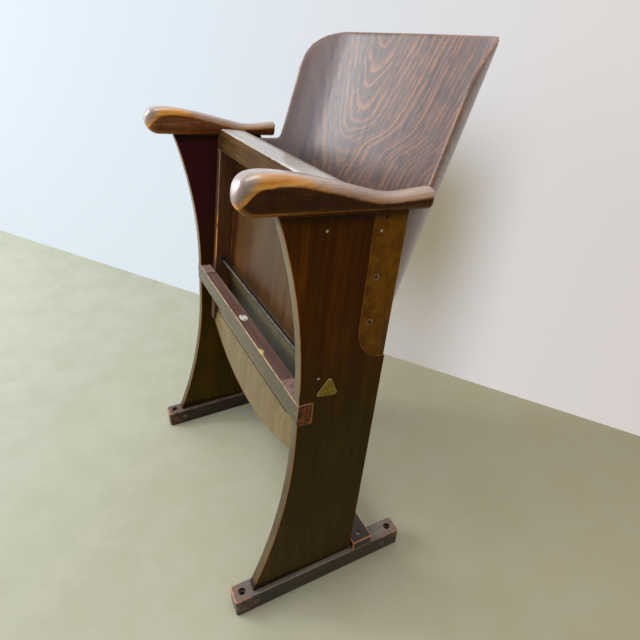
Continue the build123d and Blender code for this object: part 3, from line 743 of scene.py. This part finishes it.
def long_arrises(mesh, shortest):
    """The sharp outer edges that join up to more than the shortest length."""
    sharp = {
        edge for edge in mesh.edges
        if len(edge.link_faces) == 2 and edge.is_convex and edge.calc_face_angle() > arris_angle
    }
    chosen = []
    while sharp:
        chain, waiting = [], [sharp.pop()]
        while waiting:
            edge = waiting.pop()
            chain.append(edge)
            near = {other for vertex in edge.verts for other in vertex.link_edges} & sharp
            sharp -= near
            waiting.extend(near)
        if sum(edge.calc_length() for edge in chain) > shortest:
            chosen.extend(chain)
    return chosen


def is_strip(face, width):
    """Whether a face is narrower than this."""
    return face.calc_area() < width * max(edge.calc_length() for edge in face.edges)


def merged_copy(node):
    """A copy of a CAD piece with its doubles merged and its flat faces whole."""
    piece = bpy.data.objects.new(node + "_finished", nodes[node].data.copy())
    bpy.context.scene.collection.objects.link(piece)
    select_only(piece)
    bpy.ops.mesh.customdata_custom_splitnormals_clear()
    bpy.ops.object.mode_set(mode="EDIT")
    bpy.ops.mesh.select_all(action="SELECT")
    bpy.ops.mesh.remove_doubles(threshold=doubles_gap)
    bpy.ops.mesh.dissolve_limited(angle_limit=flat_angle)
    bpy.ops.mesh.select_all(action="DESELECT")
    return piece


def round_over(piece, shortest, width, segments, is_soft=None):
    """Rounds the long arrises, or only the edges of them with both ends where is_soft says."""
    mesh = bmesh.from_edit_mesh(piece.data)
    for edge in long_arrises(mesh, shortest):
        if not is_soft or all(is_soft(vertex.co) for vertex in edge.verts):
            edge.select_set(True)
    bmesh.update_edit_mesh(piece.data)
    bpy.ops.mesh.bevel(offset=width, segments=segments, profile=0.5, clamp_overlap=False)


def dress(mesh, material):
    """Gives all of a mesh this one material."""
    mesh.materials.clear()
    mesh.materials.append(material)


def stand_in(piece, node, body, material):
    """Puts a finished piece in the place of its CAD node."""
    dress(piece.data, material)
    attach(piece, body)
    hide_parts(node)


def eased(node, body, material, width, shortest=0.06, soft_width=0.0, is_soft=None):
    """A CAD piece with its long outer arrises rounded and marked, for the wear on them."""
    piece = merged_copy(node)
    if is_soft:
        round_over(piece, shortest, soft_width, soft_segments, is_soft)
        bpy.ops.mesh.select_all(action="DESELECT")
    round_over(piece, shortest, width, arris_segments)
    mesh = bmesh.from_edit_mesh(piece.data)
    rub = mesh.verts.layers.float.new("rub")
    for vertex in mesh.verts:
        strips = all(is_strip(face, strip_share * width) for face in vertex.link_faces)
        vertex[rub] = float(vertex.select and strips)
    bmesh.update_edit_mesh(piece.data)
    bpy.ops.object.mode_set(mode="OBJECT")
    bpy.ops.object.shade_smooth_by_angle(angle=smooth_angle)
    piece.modifiers.new("flat faces stay flat", "WEIGHTED_NORMAL").keep_sharp = True
    bpy.ops.object.modifier_apply(modifier="flat faces stay flat")
    stand_in(piece, node, body, material)


def worn_smooth(node, body, material, fineness, passes, full_rub):
    """A CAD piece as use has left it, every arris flowing into its neighbours, marked by its loss."""
    piece = merged_copy(node)
    bpy.ops.object.mode_set(mode="OBJECT")
    fine = piece.modifiers.new("fine mesh", "REMESH")
    fine.mode = "VOXEL"
    fine.voxel_size = fineness
    bpy.ops.object.modifier_apply(modifier="fine mesh")
    before = [vertex.co.copy() for vertex in piece.data.vertices]
    worn = piece.modifiers.new("worn smooth", "SMOOTH")
    worn.factor = 0.5
    worn.iterations = passes
    bpy.ops.object.modifier_apply(modifier="worn smooth")
    rub = piece.data.attributes.new("rub", "FLOAT", "POINT")
    loss = [(vertex.co - place).length for vertex, place in zip(piece.data.vertices, before)]
    rub.data.foreach_set("value", [min(depth / full_rub, 1.0) for depth in loss])
    bpy.ops.object.shade_smooth()
    stand_in(piece, node, body, material)


def frame_pieces():
    """Panels, feet and armrests, the two rails between the panels, and the backrest."""
    for side, own in sides.items():
        shift = own["grain_shift"]
        panel = side_panel_wood(side + "_panel_beech", shift, own["inner_red"])
        eased(side + "_side_panel", "frame", panel, width=0.0014)
        foot = foot_wood(side + "_foot_beech", shift, own["foot_top"])
        eased(side + "_foot_rail", "frame", foot, width=0.0016)
        arm = arm_wood(side + "_arm_beech", shift, own["arm_side"])
        worn_smooth(side + "_armrest", "frame", arm, fineness=0.0018, passes=12, full_rub=0.0012)
    eased("front_cross_rail", "frame", cross_rail_wood("cross_rail_beech"), width=0.0012)
    tones = ((26, 14, 4), (42, 26, 13), (66, 46, 31))
    stretcher = plain_wood("stretcher_beech", grain_across, tones, (190, 122, 76), 2.2)
    eased("rear_stretcher", "frame", stretcher, width=0.0022)
    back = back_veneer("back_veneer")
    worn_smooth("backrest_shell", "frame", back, fineness=0.00285, passes=13, full_rub=0.0016)


def seat_pieces():
    """The rails and the ply that tip up."""
    eased(
        "seat_front_rail", "seat", front_rail_wood("seat_front_beech"), width=0.0016,
        soft_width=0.0045, is_soft=lambda place: place.z > rail_edge_z and place.y < rail_edge_y,
    )
    rail = seat_side_wood("seat_side_beech")
    for side in sides:
        eased("seat_" + side + "_rail", "seat", rail, width=0.0022)
    eased(
        "seat_panel", "seat", seat_veneer("seat_veneer"), width=0.0016,
        soft_width=0.0048, is_soft=lambda place: place.z > ply_edge_z and place.y > ply_edge_y,
    )


def fittings():
    """Pegs, plates, pads and ironwork."""
    tones = ((62, 46, 34), (82, 64, 48), (110, 90, 70))
    peg = plain_wood("peg_beech", grain_across, tones, (168, 146, 122), 2.0)
    steel = dull_metal("dull_steel", (150, 142, 130), (92, 84, 76), 0.42)
    nail = dull_metal("nail_steel", (222, 214, 200), (176, 164, 146), 0.40)
    rod = dull_metal("rod_steel", (84, 78, 72), (48, 42, 38), 0.50)
    brass = dull_metal("brass", (158, 138, 52), (112, 94, 36), 0.38, rim=(236, 226, 176))
    bolt = stained_metal("stained_nut")
    dress(nodes["panel_nails"].data, nail)
    dress(nodes["pivot_rod"].data, rod)
    dress(nodes["backrest_bolts"].data, bolt)
    for node in peg_nodes:
        dress(nodes[node].data, peg)
    for node in steel_nodes:
        dress(nodes[node].data, steel)
    eased("foot_rail_pegs", "frame", peg, width=0.0008, shortest=0.02)
    for side in sides:
        eased(side + "_pivot_plate", "frame", brass, width=0.0004, shortest=0.02)
    eased("backrest_nuts", "frame", bolt, width=0.0005, shortest=0.02)
    eased("number_plate", "frame", plate_enamel("enamel"), width=0.0004, shortest=0.04)
    eased("seat_rest_pads", "frame", rest_leather("rest_leather"), width=0.0005, shortest=0.04)


photo_camera()
floor_and_wall()
soft_light()
frame_pieces()
seat_pieces()
fittings()

bpy.context.scene.view_settings.view_transform = "Standard"
bpy.context.view_layer.update()
